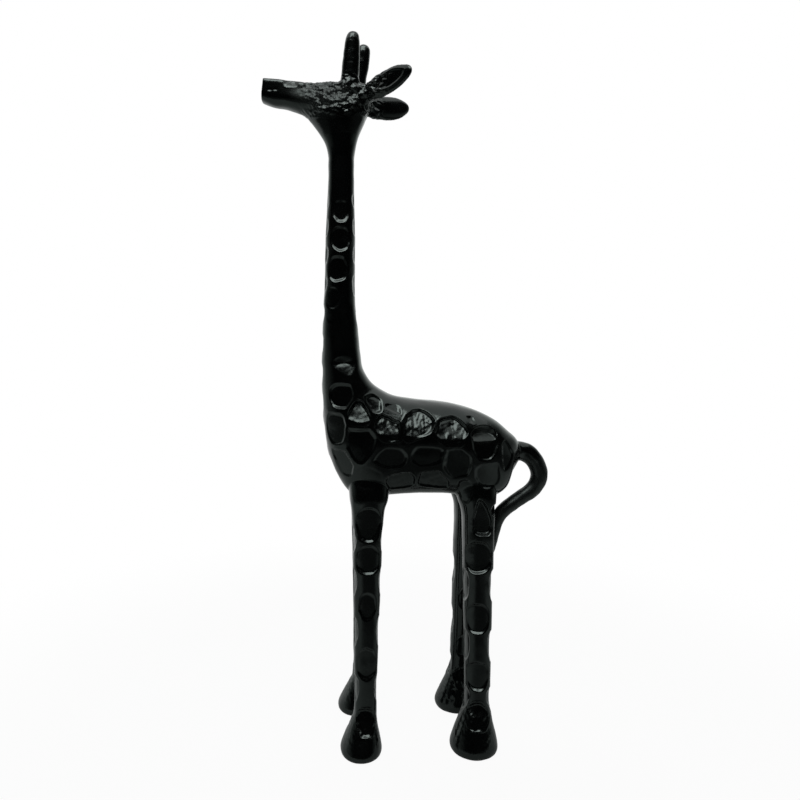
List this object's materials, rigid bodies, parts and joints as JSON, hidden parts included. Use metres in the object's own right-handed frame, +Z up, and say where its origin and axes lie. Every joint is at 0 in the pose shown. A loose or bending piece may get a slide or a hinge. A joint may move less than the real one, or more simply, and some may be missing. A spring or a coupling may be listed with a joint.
{
  "type": "giraffe statue",
  "caption": "Standing giraffe table statue in black-enamelled cast metal: hammered flanks, long upright neck, leaf ears, looped tail and bell-shaped hooves.",
  "frame": {"origin": "centre of the statue's box, on the ground between the hooves", "axes": "+Z up; the giraffe faces -X; its left side is -Y and its right side +Y"},
  "size_m": [0.2231, 0.0974, 0.537],
  "materials": {
    "enamel": "gloss black enamel on cast aluminium",
    "steel": "zinc plated",
    "felt": "black felt"
  },
  "bodies": {
    "root": {"torso_left_shell": "enamel", "torso_right_shell": "enamel", "neck_casting": "enamel", "head_casting": "enamel", "horn_left": "enamel", "horn_right": "enamel", "ear_left": "enamel", "ear_right": "enamel", "tail_casting": "enamel", "leg_front_left": "enamel", "leg_front_right": "enamel", "leg_rear_left": "enamel", "leg_rear_right": "enamel", "foot_pad_front_left": "felt", "foot_pad_front_right": "felt", "foot_pad_rear_left": "felt", "foot_pad_rear_right": "felt", "leg_screws": "steel", "leg_washers": "steel", "neck_stud": "steel", "neck_nut": "steel", "neck_washer": "steel", "head_stud": "steel", "tail_pin": "steel", "shell_dowels": "steel"}
  },
  "joints": []
}
